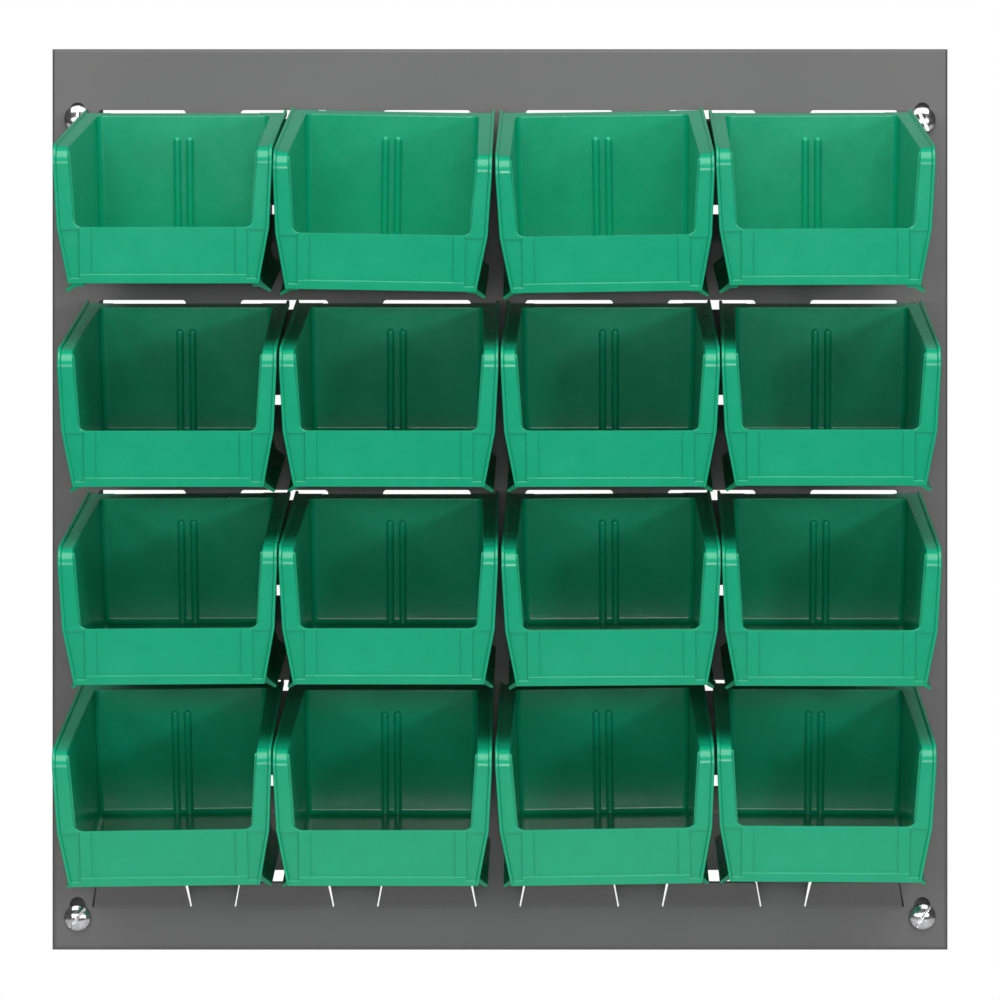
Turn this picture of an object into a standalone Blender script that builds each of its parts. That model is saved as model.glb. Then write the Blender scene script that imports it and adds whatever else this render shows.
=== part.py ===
"""Louvred steel wall panel with sixteen hanging parts bins and its four mounting screws.

Frame: +X to the right, +Y into the wall, +Z up. The wall is the plane y = 0, so everything in
front of it has a negative y. The origin is the middle of the panel's lower rear lip, where the
panel bears on the wall. All lengths are in metres and all angles in degrees.
"""

import math

import bmesh
import bpy
from mathutils import Matrix, Vector

# Panel: one folded sheet, with a return flange and a rear lip on all four sides.
PANEL_WIDTH = 0.4572
PANEL_HEIGHT = 0.4600
PANEL_DEPTH = 0.0127
SHEET = 0.0012
EDGE_RADIUS = 0.0020
EDGE_STEPS = 2
LIP_WIDTH = 0.0190
SIDE_LIP_WIDTH = 0.0254
PANEL_BOTTOM = -LIP_WIDTH / 2
FACE_Y = -(PANEL_DEPTH - SHEET / 2)
LIP_Y = -SHEET / 2

# Louvres: each tab stays attached along its lower edge, the fold, and leans out from the face.
LOUVRE_COLUMNS = 6
LOUVRE_ROWS = 9
LOUVRE_PITCH_X = 0.0727
LOUVRE_PITCH_Z = 0.0485
LOUVRE_FIELD_X = -0.0010
TOP_FOLD_Z = PANEL_BOTTOM + 0.4084
HOLE_HEIGHT = 0.0204
HOLE_HALF_TOP = 0.0220
HOLE_HALF_FOLD = 0.0258
HOLE_CORNER = 0.0018
TAB_LENGTH = 0.0198
TAB_HALF_TOP = 0.0221
TAB_HALF_FOLD = 0.0249
TAB_CORNER = 0.0022
TAB_ANGLE = 44.5
TAB_FOLD_LENGTH = 0.0040
TAB_FOLD_STEPS = 2
SLIT_FOOT = 0.0020
CORNER_STEPS = 2

# Mounting slots in the face, and the round holes behind them in the rear lip.
SLOT_X = 0.2156
SLOT_WIDTH = 0.0080
SLOT_LENGTH = 0.0140
SLOT_CENTRES_Z = (PANEL_BOTTOM + 0.4256, PANEL_BOTTOM + 0.0200)
SLOT_STEPS = 6
LIP_HOLE_RADIUS = 0.0029
LIP_HOLE_STEPS = 12

# Screws: (name, side, height above the panel's lower edge, direction of the driver slot).
SCREWS = (
    ("mounting_screw_top_left", -1, 0.4245, 88),
    ("mounting_screw_top_right", 1, 0.4237, -62),
    ("mounting_screw_bottom_left", -1, 0.0164, 52),
    ("mounting_screw_bottom_right", 1, 0.0170, 55),
)
SCREW_HEAD_RADIUS = 0.00685
SCREW_HEAD_EDGE = 0.0009
SCREW_DOME = 0.0029
SCREW_SHANK_RADIUS = 0.0024
SCREW_LENGTH = 0.0254
SCREW_POINT = 0.0050
SCREW_STEPS = 16
SCREW_DOME_STEPS = 3
DRIVER_SLOT_WIDTH = 0.0015
DRIVER_SLOT_DEPTH = 0.0018

# GAP is the clearance between pieces that touch. LAP and BITE are how far the solids that make up
# one piece reach into each other, and CUT_PAST is how far a cutter runs past what it cuts.
GAP = 0.0003
LAP = 0.0003
BITE = 0.0010
CUT_PAST = 0.0120

# Bin, in its own frame: x across, -y towards the bin's front, z up. Its origin is on the underside
# of the hanging shelf, where the shelf rests on the top edge of a louvre.
BIN_LENGTH = 0.1873
BIN_WALL = 0.0018
FLOOR_BOTTOM = -0.0641
FLOOR_TOP = -0.0619
LEDGE_TOP = 0.0023
LEDGE_THICKNESS = 0.0016
BEAD_HEIGHT = 0.0015
BEAD_WIDTH = 0.0018
BEAD_SLOPE = 0.0004
HOOK_DROP = 0.0080
HOOK_LEAN = 34.0
HOOK_THICKNESS = 0.0024
HOOK_PLAY = 0.0022
HOOK_HALF = 0.0440
SHELF_REAR = HOOK_PLAY + HOOK_THICKNESS
HOOK_REAR = SHELF_REAR + HOOK_DROP * math.tan(math.radians(HOOK_LEAN))
BACK_REAR = -0.0104
BACK_FRONT = BACK_REAR - 0.0020
BAND_FRONT = HOOK_REAR - BIN_LENGTH
PLATE_FRONT = BAND_FRONT + 0.0008
PLATE_REAR = PLATE_FRONT + BIN_WALL
LIP_TOP = -0.0366
SHOULDER_RADIUS = 0.0080
SHOULDER_STEPS = 3
INNER_HALF_TOP_BACK = 0.0438
INNER_HALF_TOP_FRONT = 0.0462
INNER_HALF_FLOOR_BACK = 0.0426
INNER_HALF_FLOOR_FRONT = 0.0417
WALL_STATIONS = 4
OPENING_STEP = 0.00005
RIM_HALF_BACK = 0.0518
RIM_HALF_SHOULDER = 0.0533
PLATE_HALF_LIP = 0.0517
PLATE_HALF_BOTTOM = 0.0464
LABEL_HALF = 0.0351
STRIP_WIDTH = 0.0058
BAND_HEIGHT = 0.0046
RAIL_FRONT = BAND_FRONT + 0.0360
RAIL_REAR = -0.0300
RIB_RADIUS = 0.0019
RIB_SPACING = 0.0064
RIB_TOP = -0.0085
RIB_STEPS = 4

# Where each bin hangs: bins take every second row of louvres. Each one settles a little
# differently: (x of the front's middle in mm, turn about Z, roll about Y, droop about X).
BIN_ROWS = (0, 2, 4, 6)
SETTLED = (
    ((-164.0, -1.2, 0.0, 8.3), (-56.6, -0.7, 1.0, 9.7), (50.5, -0.4, -0.8, 9.9), (158.1, 0.0, -0.2, 8.6)),
    ((-161.8, -0.9, 0.0, 9.0), (-54.0, -0.6, 0.1, 9.0), (53.5, -0.6, -0.1, 9.0), (160.9, -0.8, 0.0, 8.8)),
    ((-161.8, -1.1, -0.4, 8.8), (-54.3, -0.6, 0.0, 8.7), (53.7, -0.5, -0.4, 9.0), (161.2, -0.4, 0.1, 9.0)),
    ((-164.8, -1.0, -0.8, 9.3), (-57.2, -0.7, 0.0, 9.1), (50.4, -0.5, -0.9, 9.1), (158.8, -0.4, 0.3, 8.5)),
)
SHOULDER_REACH = 0.1740
ROLL_REACH = 0.0400


def clear_scene():
    for old in list(bpy.data.objects):
        bpy.data.objects.remove(old, do_unlink=True)


def make_material(name, colour, roughness, metallic):
    material = bpy.data.materials.new(name)
    material.use_nodes = True
    shader = material.node_tree.nodes["Principled BSDF"]
    shader.inputs["Base Color"].default_value = (*colour, 1.0)
    shader.inputs["Roughness"].default_value = roughness
    shader.inputs["Metallic"].default_value = metallic
    return material


def mesh_from(bm, name):
    bmesh.ops.remove_doubles(bm, verts=bm.verts, dist=1e-7)
    bmesh.ops.recalc_face_normals(bm, faces=bm.faces)
    mesh = bpy.data.meshes.new(name)
    bm.to_mesh(mesh)
    bm.free()
    return mesh


def add_object(name, mesh, material=None):
    obj = bpy.data.objects.new(name, mesh)
    bpy.context.collection.objects.link(obj)
    if material:
        mesh.materials.clear()
        mesh.materials.append(material)
    return obj


def solid_between(rings):
    """Closed solid through a list of rings with the same number of points, capped at both ends."""
    bm = bmesh.new()
    loops = [[bm.verts.new(point) for point in ring] for ring in rings]
    count = len(loops[0])
    for near, far in zip(loops, loops[1:]):
        for i in range(count):
            j = (i + 1) % count
            bm.faces.new((near[i], near[j], far[j], far[i]))
    bm.faces.new(loops[0])
    bm.faces.new(loops[-1][::-1])
    return bm


def evaluated_mesh(obj):
    depsgraph = bpy.context.evaluated_depsgraph_get()
    return bpy.data.meshes.new_from_object(obj.evaluated_get(depsgraph), depsgraph=depsgraph)


def combine(base, tools, operation):
    """The mesh of base joined with, or cut by, each of the tools, all given as bmeshes."""
    body = add_object("body", mesh_from(base, "body"))
    helpers = [body]
    for tool in tools:
        helper = add_object("tool", mesh_from(tool, "tool"))
        helpers.append(helper)
        modifier = body.modifiers.new("boolean", "BOOLEAN")
        modifier.operation = operation
        modifier.solver = "EXACT"
        modifier.object = helper
    bpy.context.view_layer.update()
    result = bmesh.new()
    result.from_mesh(evaluated_mesh(body))
    for helper in helpers:
        bpy.data.objects.remove(helper, do_unlink=True)
    bmesh.ops.remove_doubles(result, verts=result.verts, dist=1e-6)
    bmesh.ops.dissolve_limit(result, angle_limit=math.radians(0.2), verts=result.verts, edges=result.edges)
    return result


# ---- panel ----


def arc(centre_x, centre_z, radius, start, end, steps):
    """Points (x, z) on an arc, angles counted from +X towards +Z."""
    angles = [math.radians(start + (end - start) * i / steps) for i in range(steps + 1)]
    return [(centre_x + radius * math.cos(a), centre_z + radius * math.sin(a)) for a in angles]


def rounded_top(half_low, half_top, height, corner):
    """Half-outline of a louvre hole or tab above its fold: right side, upwards, to the middle."""
    side = math.degrees(math.atan2(half_low - half_top, height))
    reach = corner * math.tan(math.radians(45 - side / 2))
    centre_x = half_top - reach
    return arc(centre_x, height - corner, corner, side, 90, CORNER_STEPS)


def mirrored(half):
    return half + [(-x, z) for x, z in reversed(half)]


def tab_point(x, along):
    """A point of a louvre tab, at a distance along the sheet from its fold, as (x, y, z)."""
    bent = min(along, TAB_FOLD_LENGTH)
    y = 0.0
    z = 0.0
    step = TAB_FOLD_LENGTH / TAB_FOLD_STEPS
    for i in range(TAB_FOLD_STEPS):
        piece = min(step, max(0.0, bent - i * step))
        lean = math.radians(TAB_ANGLE * (i + 0.5) / TAB_FOLD_STEPS)
        y -= piece * math.sin(lean)
        z += piece * math.cos(lean)
    straight = along - bent
    y -= straight * math.sin(math.radians(TAB_ANGLE))
    z += straight * math.cos(math.radians(TAB_ANGLE))
    return x, y, z


def louvre_places():
    first = LOUVRE_FIELD_X - LOUVRE_PITCH_X * (LOUVRE_COLUMNS - 1) / 2
    for row in range(LOUVRE_ROWS):
        for column in range(LOUVRE_COLUMNS):
            yield first + column * LOUVRE_PITCH_X, TOP_FOLD_Z - row * LOUVRE_PITCH_Z


def add_loop(bm, points, y):
    verts = [bm.verts.new((x, y, z)) for x, z in points]
    return [bm.edges.new((verts[i - 1], verts[i])) for i in range(len(verts))]


def rectangle(half_width, low, high):
    return [(-half_width, low), (half_width, low), (half_width, high), (-half_width, high)]


def slot_outline(x, z):
    half = SLOT_WIDTH / 2
    reach = SLOT_LENGTH / 2 - half
    return arc(x, z + reach, half, 0, 180, SLOT_STEPS) + arc(x, z - reach, half, 180, 360, SLOT_STEPS)


def hole_half(z):
    return HOLE_HALF_FOLD + (HOLE_HALF_TOP - HOLE_HALF_FOLD) * z / HOLE_HEIGHT


def tab_half(along):
    return TAB_HALF_FOLD + (TAB_HALF_TOP - TAB_HALF_FOLD) * along / TAB_LENGTH


def hole_outline(x, z):
    """Louvre hole in the face: along the fold, up past the webs that end the side slits, and over."""
    half = [(TAB_HALF_FOLD, 0), (HOLE_HALF_FOLD, 0), (hole_half(SLIT_FOOT), SLIT_FOOT)]
    half += rounded_top(HOLE_HALF_FOLD, HOLE_HALF_TOP, HOLE_HEIGHT, HOLE_CORNER)
    return [(x + u, z + v) for u, v in mirrored(half)]


def add_tab(bm, x, z):
    """Louvre tab, with a small web on each side that joins it to the face below the slit."""
    place = Vector((x, FACE_Y, z))
    folds = [i * TAB_FOLD_LENGTH / TAB_FOLD_STEPS for i in range(TAB_FOLD_STEPS + 1)]
    pairs = []
    for along in folds:
        half = tab_half(along)
        pairs.append([bm.verts.new(place + Vector(tab_point(side * half, along))) for side in (-1, 1)])
    for low, high in zip(pairs, pairs[1:]):
        bm.faces.new((low[0], low[1], high[1], high[0]))
    top = mirrored(rounded_top(TAB_HALF_FOLD, TAB_HALF_TOP, TAB_LENGTH, TAB_CORNER))
    outline = [bm.verts.new(place + Vector(tab_point(u, v))) for u, v in top]
    bm.faces.new((pairs[-1][0], pairs[-1][1], *outline))
    for index, side in enumerate((-1, 1)):
        outer = [bm.verts.new(place + Vector((side * hole_half(v), 0, v))) for v in (0, SLIT_FOOT)]
        bm.faces.new((pairs[0][index], outer[0], outer[1], pairs[1][index]))


def build_panel(material):
    bm = bmesh.new()
    low = PANEL_BOTTOM + SHEET / 2
    high = PANEL_BOTTOM + PANEL_HEIGHT - SHEET / 2
    half = PANEL_WIDTH / 2 - SHEET / 2

    # Bent edges and flanges, from the face back to the rear lip.
    sections = []
    for i in range(EDGE_STEPS + 1):
        turn = math.radians(90 * i / EDGE_STEPS)
        sections.append((EDGE_RADIUS * (1 - math.sin(turn)), FACE_Y + EDGE_RADIUS * (1 - math.cos(turn))))
    sections.append((0.0, LIP_Y))
    rings = []
    for inset, y in sections:
        points = rectangle(half - inset, low + inset, high - inset)
        rings.append([bm.verts.new((x, y, z)) for x, z in points])
    for near, far in zip(rings, rings[1:]):
        for i in range(4):
            bm.faces.new((near[i - 1], near[i], far[i], far[i - 1]))

    # Face with its louvre holes and mounting slots.
    inset = sections[0][0]
    face_edges = add_loop(bm, rectangle(half - inset, low + inset, high - inset), FACE_Y)
    for x, z in louvre_places():
        face_edges += add_loop(bm, hole_outline(x, z), FACE_Y)
    for side in (-1, 1):
        for z in SLOT_CENTRES_Z:
            face_edges += add_loop(bm, slot_outline(side * SLOT_X, z), FACE_Y)
    bmesh.ops.triangle_fill(bm, edges=face_edges, use_beauty=True, normal=(0, -1, 0))

    # Rear lip, with a round hole behind each slot.
    lip_edges = add_loop(bm, rectangle(half, low, high), LIP_Y)
    inner = LIP_WIDTH - SHEET / 2
    inner_side = SIDE_LIP_WIDTH - SHEET / 2
    lip_edges += add_loop(bm, rectangle(half - inner_side, low + inner, high - inner), LIP_Y)
    for name, side, height, direction in SCREWS:
        ring = arc(side * SLOT_X, PANEL_BOTTOM + height, LIP_HOLE_RADIUS, 0, 360, LIP_HOLE_STEPS)
        lip_edges += add_loop(bm, ring[:-1], LIP_Y)
    bmesh.ops.triangle_fill(bm, edges=lip_edges, use_beauty=True, normal=(0, 1, 0))

    for x, z in louvre_places():
        add_tab(bm, x, z)

    panel = add_object("louvred_panel", mesh_from(bm, "louvred_panel"), material)
    thickness = panel.modifiers.new("sheet", "SOLIDIFY")
    thickness.thickness = SHEET
    thickness.offset = 0.0
    thickness.use_even_offset = True
    return panel


# ---- screws ----


def build_screw(name, side, height, direction, material):
    """Round-head screw: the head in front of the panel face, the point going into the wall."""
    head_rear = -PANEL_DEPTH - GAP
    edge = head_rear - SCREW_HEAD_EDGE
    profile = [(0.0, head_rear + SCREW_LENGTH)]
    profile.append((SCREW_SHANK_RADIUS, head_rear + SCREW_LENGTH - SCREW_POINT))
    profile.append((SCREW_SHANK_RADIUS, head_rear))
    profile.append((SCREW_HEAD_RADIUS, head_rear))
    for i in range(SCREW_DOME_STEPS):
        turn = math.radians(90 * i / SCREW_DOME_STEPS)
        profile.append((SCREW_HEAD_RADIUS * math.cos(turn), edge - SCREW_DOME * math.sin(turn)))
    profile.append((0.0, edge - SCREW_DOME))

    bm = bmesh.new()
    verts = [bm.verts.new((radius, y, 0)) for radius, y in profile]
    chain = [bm.edges.new(pair) for pair in zip(verts, verts[1:])]
    bmesh.ops.spin(
        bm,
        geom=verts + chain,
        cent=(0, 0, 0),
        axis=(0, 1, 0),
        angle=math.tau,
        steps=SCREW_STEPS,
        use_merge=True,
    )
    bmesh.ops.remove_doubles(bm, verts=bm.verts, dist=1e-6)

    front = edge - SCREW_DOME
    long = SCREW_HEAD_RADIUS + BITE
    half = DRIVER_SLOT_WIDTH / 2
    outline = [(-long, -half), (long, -half), (long, half), (-long, half)]
    ends = (front - BITE, front + DRIVER_SLOT_DEPTH)
    cutter = solid_between([[(x, y, z) for x, z in outline] for y in ends])
    turned = Matrix.Rotation(math.radians(-direction), 4, "Y")
    bmesh.ops.transform(cutter, matrix=turned, verts=cutter.verts)

    screw = add_object(name, mesh_from(combine(bm, [cutter], "DIFFERENCE"), name), material)
    screw.location = (side * SLOT_X, 0, PANEL_BOTTOM + height)
    screw.data.shade_smooth()
    screw.data.set_sharp_from_angle(angle=math.radians(40))
    return screw


# ---- bins ----


def inner_half(y, z):
    """Half-width of the inside: it grows upwards, and more so towards the front."""
    ahead = (BACK_FRONT - y) / (BACK_FRONT - PLATE_REAR)
    up = (z - FLOOR_TOP) / (LEDGE_TOP - FLOOR_TOP)
    floor = INNER_HALF_FLOOR_BACK + (INNER_HALF_FLOOR_FRONT - INNER_HALF_FLOOR_BACK) * ahead
    top = INNER_HALF_TOP_BACK + (INNER_HALF_TOP_FRONT - INNER_HALF_TOP_BACK) * ahead
    return floor + (top - floor) * up


def opening_half(z):
    return inner_half(PLATE_REAR, z) + OPENING_STEP


def across(profile, half_width):
    """Solid with a given side profile (y, z), as wide on both sides as half_width(z) says."""
    return solid_between([[(side * half_width(z), y, z) for y, z in profile] for side in (-1, 1)])


def between(start, end):
    return [start + (end - start) * i / WALL_STATIONS for i in range(WALL_STATIONS + 1)]


def walls(stations, low, more):
    """Solid through upright sections at (y, top), wider than the inside by more on each side."""
    rings = []
    for y, top in stations:
        low_half = inner_half(y, low) + more
        top_half = inner_half(y, top) + more
        rings.append([(-low_half, y, low), (low_half, y, low), (top_half, y, top), (-top_half, y, top)])
    return solid_between(rings)


def shoulder_arc():
    """(y, z) of the bend from the top rim to the upright arm, with the outward direction."""
    centre_y = PLATE_FRONT + SHOULDER_RADIUS
    centre_z = LEDGE_TOP - SHOULDER_RADIUS
    points = []
    for i in range(SHOULDER_STEPS + 1):
        turn = math.radians(90 * i / SHOULDER_STEPS)
        out = (-math.sin(turn), math.cos(turn))
        points.append((centre_y + SHOULDER_RADIUS * out[0], centre_z + SHOULDER_RADIUS * out[1], out))
    return points


def tub():
    """Outside of the walls and floor; the flanges cover its top edges and shoulders."""
    bend = shoulder_arc()
    stations = [(y, LEDGE_TOP - LAP) for y in between(BACK_REAR, bend[0][0] + BITE)]
    stations += [(y + LAP, z - LAP) for y, z, out in bend]
    return walls(stations, FLOOR_BOTTOM, BIN_WALL)


def cavity():
    """Inside of the bin, open at the top."""
    return walls([(y, LEDGE_TOP + CUT_PAST) for y in between(BACK_FRONT, PLATE_REAR)], FLOOR_TOP, 0)


def pick_opening():
    """Front opening between the arms and above the lip."""
    above = LEDGE_TOP + CUT_PAST
    ends = (BAND_FRONT - CUT_PAST, PLATE_REAR + BITE)
    profile = [(ends[0], LIP_TOP), (ends[0], above), (ends[1], above), (ends[1], LIP_TOP)]
    return across(profile, opening_half)


def flange(side):
    """Rim ledge with its outer bead: along the top, round the shoulder and down the front plate."""
    inner = LABEL_HALF + STRIP_WIDTH / 2
    stations = [(SHELF_REAR - LAP, LEDGE_TOP, (0.0, 1.0), RIM_HALF_BACK)]
    stations += [(y, z, out, RIM_HALF_SHOULDER) for y, z, out in shoulder_arc()]
    stations += [(PLATE_FRONT, LIP_TOP, (-1.0, 0.0), PLATE_HALF_LIP)]
    stations += [(PLATE_FRONT, FLOOR_BOTTOM + LAP, (-1.0, 0.0), PLATE_HALF_BOTTOM + LAP / 2)]
    rings = []
    for y, z, out, outer in stations:
        section = [
            (inner, 0.0),
            (outer - BEAD_WIDTH, 0.0),
            (outer - BEAD_WIDTH + BEAD_SLOPE, BEAD_HEIGHT),
            (outer, BEAD_HEIGHT),
            (outer, -LEDGE_THICKNESS),
            (inner, -LEDGE_THICKNESS),
        ]
        rings.append([(side * x, y + h * out[0], z + h * out[1]) for x, h in section])
    return solid_between(rings)


def hanging_shelf():
    """Plain ledge behind the back wall that rests on the louvre."""
    front = BACK_REAR - BIN_WALL / 2
    ledge_top = LEDGE_TOP - LAP / 2
    profile = [(front, 0.0), (SHELF_REAR, 0.0), (SHELF_REAR, ledge_top), (front, ledge_top)]
    return across(profile, lambda z: RIM_HALF_BACK - BEAD_WIDTH / 2)


def hook():
    """Leg that hangs down behind the louvre tab, leaning as the tab does."""
    lean = math.tan(math.radians(HOOK_LEAN))
    root = LEDGE_TOP / 2
    profile = [
        (HOOK_PLAY - root * lean, root),
        (HOOK_REAR - HOOK_THICKNESS, -HOOK_DROP),
        (HOOK_REAR, -HOOK_DROP),
        (SHELF_REAR - LAP - root * lean, root),
    ]
    return across(profile, lambda z: HOOK_HALF)


def front_band():
    low = FLOOR_BOTTOM
    high = FLOOR_BOTTOM + BAND_HEIGHT
    share = BAND_HEIGHT / (LIP_TOP - FLOOR_BOTTOM)
    half_high = PLATE_HALF_BOTTOM + (PLATE_HALF_LIP - PLATE_HALF_BOTTOM) * share
    half = {low: PLATE_HALF_BOTTOM, high: half_high}
    rear = PLATE_REAR - BIN_WALL / 3
    profile = [(BAND_FRONT, low), (BAND_FRONT, high), (rear, high), (rear, low)]
    return across(profile, lambda z: half[z])


def front_strip(side):
    ends = [side * LABEL_HALF, side * (LABEL_HALF + STRIP_WIDTH)]
    low = FLOOR_BOTTOM + BAND_HEIGHT / 2
    high = LIP_TOP + BIN_WALL
    front = BAND_FRONT + LAP / 2
    rear = PLATE_REAR - BIN_WALL / 2
    profile = [(front, low), (front, high), (rear, high), (rear, low)]
    return solid_between([[(x, y, z) for y, z in profile] for x in ends])


def stacking_rail(side):
    """Rail under the floor, with a fin that leans out to sit on the rim ledge of a bin below."""
    section = [
        (0.0414, -0.0628),
        (0.0448, -0.0628),
        (0.0460, -0.0674),
        (0.0508, -0.0714),
        (0.0499, -0.0724),
        (0.0450, -0.0698),
        (0.0414, -0.0698),
    ]
    return solid_between([[(side * x, y, z) for x, z in section] for y in (RAIL_FRONT, RAIL_REAR)])


def divider_rib(side):
    """Half-round upright on the inside of the back; a divider slides between the two."""
    centre = side * RIB_SPACING / 2
    turns = [math.pi * i / RIB_STEPS for i in range(RIB_STEPS + 1)]
    half_round = [(centre + RIB_RADIUS * math.cos(t), BACK_FRONT - RIB_RADIUS * math.sin(t)) for t in turns]
    rear = BACK_FRONT + BITE
    section = half_round + [(centre - RIB_RADIUS, rear), (centre + RIB_RADIUS, rear)]
    return solid_between([[(x, y, z) for x, y in section] for z in (FLOOR_TOP - BITE, RIB_TOP)])


def bin_mesh():
    parts = [flange(side) for side in (-1, 1)]
    parts += [hanging_shelf(), hook(), front_band()]
    parts += [front_strip(side) for side in (-1, 1)]
    parts += [stacking_rail(side) for side in (-1, 1)]
    shell = combine(tub(), parts, "UNION")
    shell = combine(shell, [cavity(), pick_opening()], "DIFFERENCE")
    shell = combine(shell, [divider_rib(side) for side in (-1, 1)], "UNION")
    return mesh_from(shell, "hanging_bin")


def louvre_top():
    """(y, z) of a louvre's highest edge: y from the wall, z from its fold."""
    x, y, z = tab_point(0.0, TAB_LENGTH)
    lean = math.radians(TAB_ANGLE)
    return FACE_Y + y + SHEET / 2 * math.cos(lean), z + SHEET / 2 * math.sin(lean)


def place_bin(obj, louvre_row, settled):
    front_x, turn, roll, droop = settled
    turn, roll, droop = (math.radians(angle) for angle in (turn, roll, droop))
    top_y, top_z = louvre_top()
    seat_x = front_x / 1000 - SHOULDER_REACH * math.sin(turn)
    seat_z = TOP_FOLD_Z - louvre_row * LOUVRE_PITCH_Z + top_z + GAP
    seat_z += ROLL_REACH * abs(math.sin(roll))
    turned = Matrix.Rotation(turn, 4, "Z") @ Matrix.Rotation(roll, 4, "Y") @ Matrix.Rotation(droop, 4, "X")
    obj.matrix_world = Matrix.Translation((seat_x, top_y, seat_z)) @ turned


def main():
    clear_scene()
    powder_coat = make_material("grey_powder_coat", (0.13, 0.13, 0.133), 0.5, 0.0)
    green_plastic = make_material("green_polypropylene", (0.006, 0.36, 0.17), 0.28, 0.0)
    chrome = make_material("bright_zinc", (0.62, 0.62, 0.63), 0.16, 1.0)

    build_panel(powder_coat)
    for name, side, height, direction in SCREWS:
        build_screw(name, side, height, direction, chrome)

    shared = bin_mesh()
    for row, louvre_row in enumerate(BIN_ROWS):
        for column, settled in enumerate(SETTLED[row]):
            obj = add_object(f"bin_row{row + 1}_col{column + 1}", shared, green_plastic)
            place_bin(obj, louvre_row, settled)


main()
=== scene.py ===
"""Looks of the louvred wall panel with its hanging bins: fine meshes, finishes, light and camera.

The frame is the CAD model's: metres, +X to the right, +Y into the wall, +Z up.
"""

import math

import bmesh
import bpy
from mathutils import Matrix, Vector


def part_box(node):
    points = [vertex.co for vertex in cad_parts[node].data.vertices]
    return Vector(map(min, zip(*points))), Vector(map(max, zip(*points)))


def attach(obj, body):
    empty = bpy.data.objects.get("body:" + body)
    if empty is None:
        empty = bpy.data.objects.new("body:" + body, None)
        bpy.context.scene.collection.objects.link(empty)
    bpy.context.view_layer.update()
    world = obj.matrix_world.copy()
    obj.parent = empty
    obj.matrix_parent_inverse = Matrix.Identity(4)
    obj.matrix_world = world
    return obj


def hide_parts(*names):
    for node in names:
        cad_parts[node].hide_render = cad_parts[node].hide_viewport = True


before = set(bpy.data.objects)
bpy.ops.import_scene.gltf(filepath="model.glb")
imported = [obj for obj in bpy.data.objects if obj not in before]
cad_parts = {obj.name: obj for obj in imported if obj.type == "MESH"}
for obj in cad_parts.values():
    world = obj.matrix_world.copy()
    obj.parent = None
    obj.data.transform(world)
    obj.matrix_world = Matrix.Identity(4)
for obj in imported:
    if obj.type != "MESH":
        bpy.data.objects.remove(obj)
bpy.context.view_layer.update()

# ---- driving dimensions: the CAD model's, with finer steps, a real thread and rounded edges ----

PANEL_LOW, PANEL_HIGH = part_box("louvred_panel")
SHEET = 0.0012
LIP_WIDTH = 0.0190
SIDE_LIP_WIDTH = 0.0254
FACE_OUTER_Y = -0.0127
FACE_Y = FACE_OUTER_Y + SHEET / 2
LIP_Y = -SHEET / 2
EDGE_RADIUS = 0.0020
EDGE_STEPS = 6

LOUVRE_COLUMNS = 6
LOUVRE_ROWS = 9
LOUVRE_PITCH_X = 0.0727
LOUVRE_PITCH_Z = 0.0485
LOUVRE_FIELD_X = -0.0010
TOP_FOLD_Z = PANEL_LOW.z + 0.4084
HOLE_HEIGHT = 0.0204
HOLE_HALF_TOP = 0.0220
HOLE_HALF_FOLD = 0.0258
HOLE_CORNER = 0.0018
TAB_LENGTH = 0.0198
TAB_HALF_TOP = 0.0221
TAB_HALF_FOLD = 0.0249
TAB_CORNER = 0.0022
TAB_ANGLE = 44.5
TAB_FOLD_LENGTH = 0.0040
TAB_FOLD_STEPS = 6
CAD_FOLD_STEPS = 2
SLIT_FOOT = 0.0020
SLIT_FOOT_STEPS = 3
CORNER_STEPS = 6

SLOT_X = 0.2156
SLOT_WIDTH = 0.0080
SLOT_LENGTH = 0.0140
SLOT_CENTRES_Z = (PANEL_LOW.z + 0.4256, PANEL_LOW.z + 0.0200)
SLOT_STEPS = 16
LIP_HOLE_RADIUS = 0.0029
LIP_HOLE_STEPS = 32

# Screws: (name, side, height above the panel's lower edge, direction of the driver slot).
SCREWS = (
    ("mounting_screw_top_left", -1, 0.4245, 88),
    ("mounting_screw_top_right", 1, 0.4237, -62),
    ("mounting_screw_bottom_left", -1, 0.0164, 52),
    ("mounting_screw_bottom_right", 1, 0.0170, 55),
)
GAP = 0.0003
HEAD_RADIUS = 0.00685
HEAD_EDGE = 0.0009
HEAD_DOME = 0.0029
SHANK_RADIUS = 0.0024
THREAD_DEPTH = 0.0005
THREAD_PITCH = 0.0014
THREAD_STEPS = 8
SCREW_LENGTH = 0.0254
SCREW_POINT = 0.0050
SCREW_AROUND = 64
DOME_STEPS = 12
RIDGE_SLOPE = 4
TIP_SHARE = 0.02
DRIVER_SLOT_WIDTH = 0.0015
DRIVER_SLOT_DEPTH = 0.0018

# Bin, in its own frame: x across, -y towards the bin's front, z up. Its origin is on the underside
# of the hanging shelf, where the shelf rests on the top edge of a louvre.
BIN_LENGTH = 0.1873
BIN_WALL = 0.0018
FLOOR_BOTTOM = -0.0641
FLOOR_TOP = -0.0619
LEDGE_TOP = 0.0023
LEDGE_THICKNESS = 0.0016
BEAD_HEIGHT = 0.0015
BEAD_WIDTH = 0.0018
BEAD_SLOPE = 0.0004
HOOK_DROP = 0.0080
HOOK_LEAN = 34.0
HOOK_THICKNESS = 0.0024
HOOK_PLAY = 0.0022
HOOK_HALF = 0.0440
SHELF_REAR = HOOK_PLAY + HOOK_THICKNESS
HOOK_REAR = SHELF_REAR + HOOK_DROP * math.tan(math.radians(HOOK_LEAN))
BACK_REAR = -0.0104
BACK_FRONT = BACK_REAR - 0.0020
BAND_FRONT = HOOK_REAR - BIN_LENGTH
PLATE_FRONT = BAND_FRONT + 0.0008
PLATE_REAR = PLATE_FRONT + BIN_WALL
LIP_TOP = -0.0366
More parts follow.
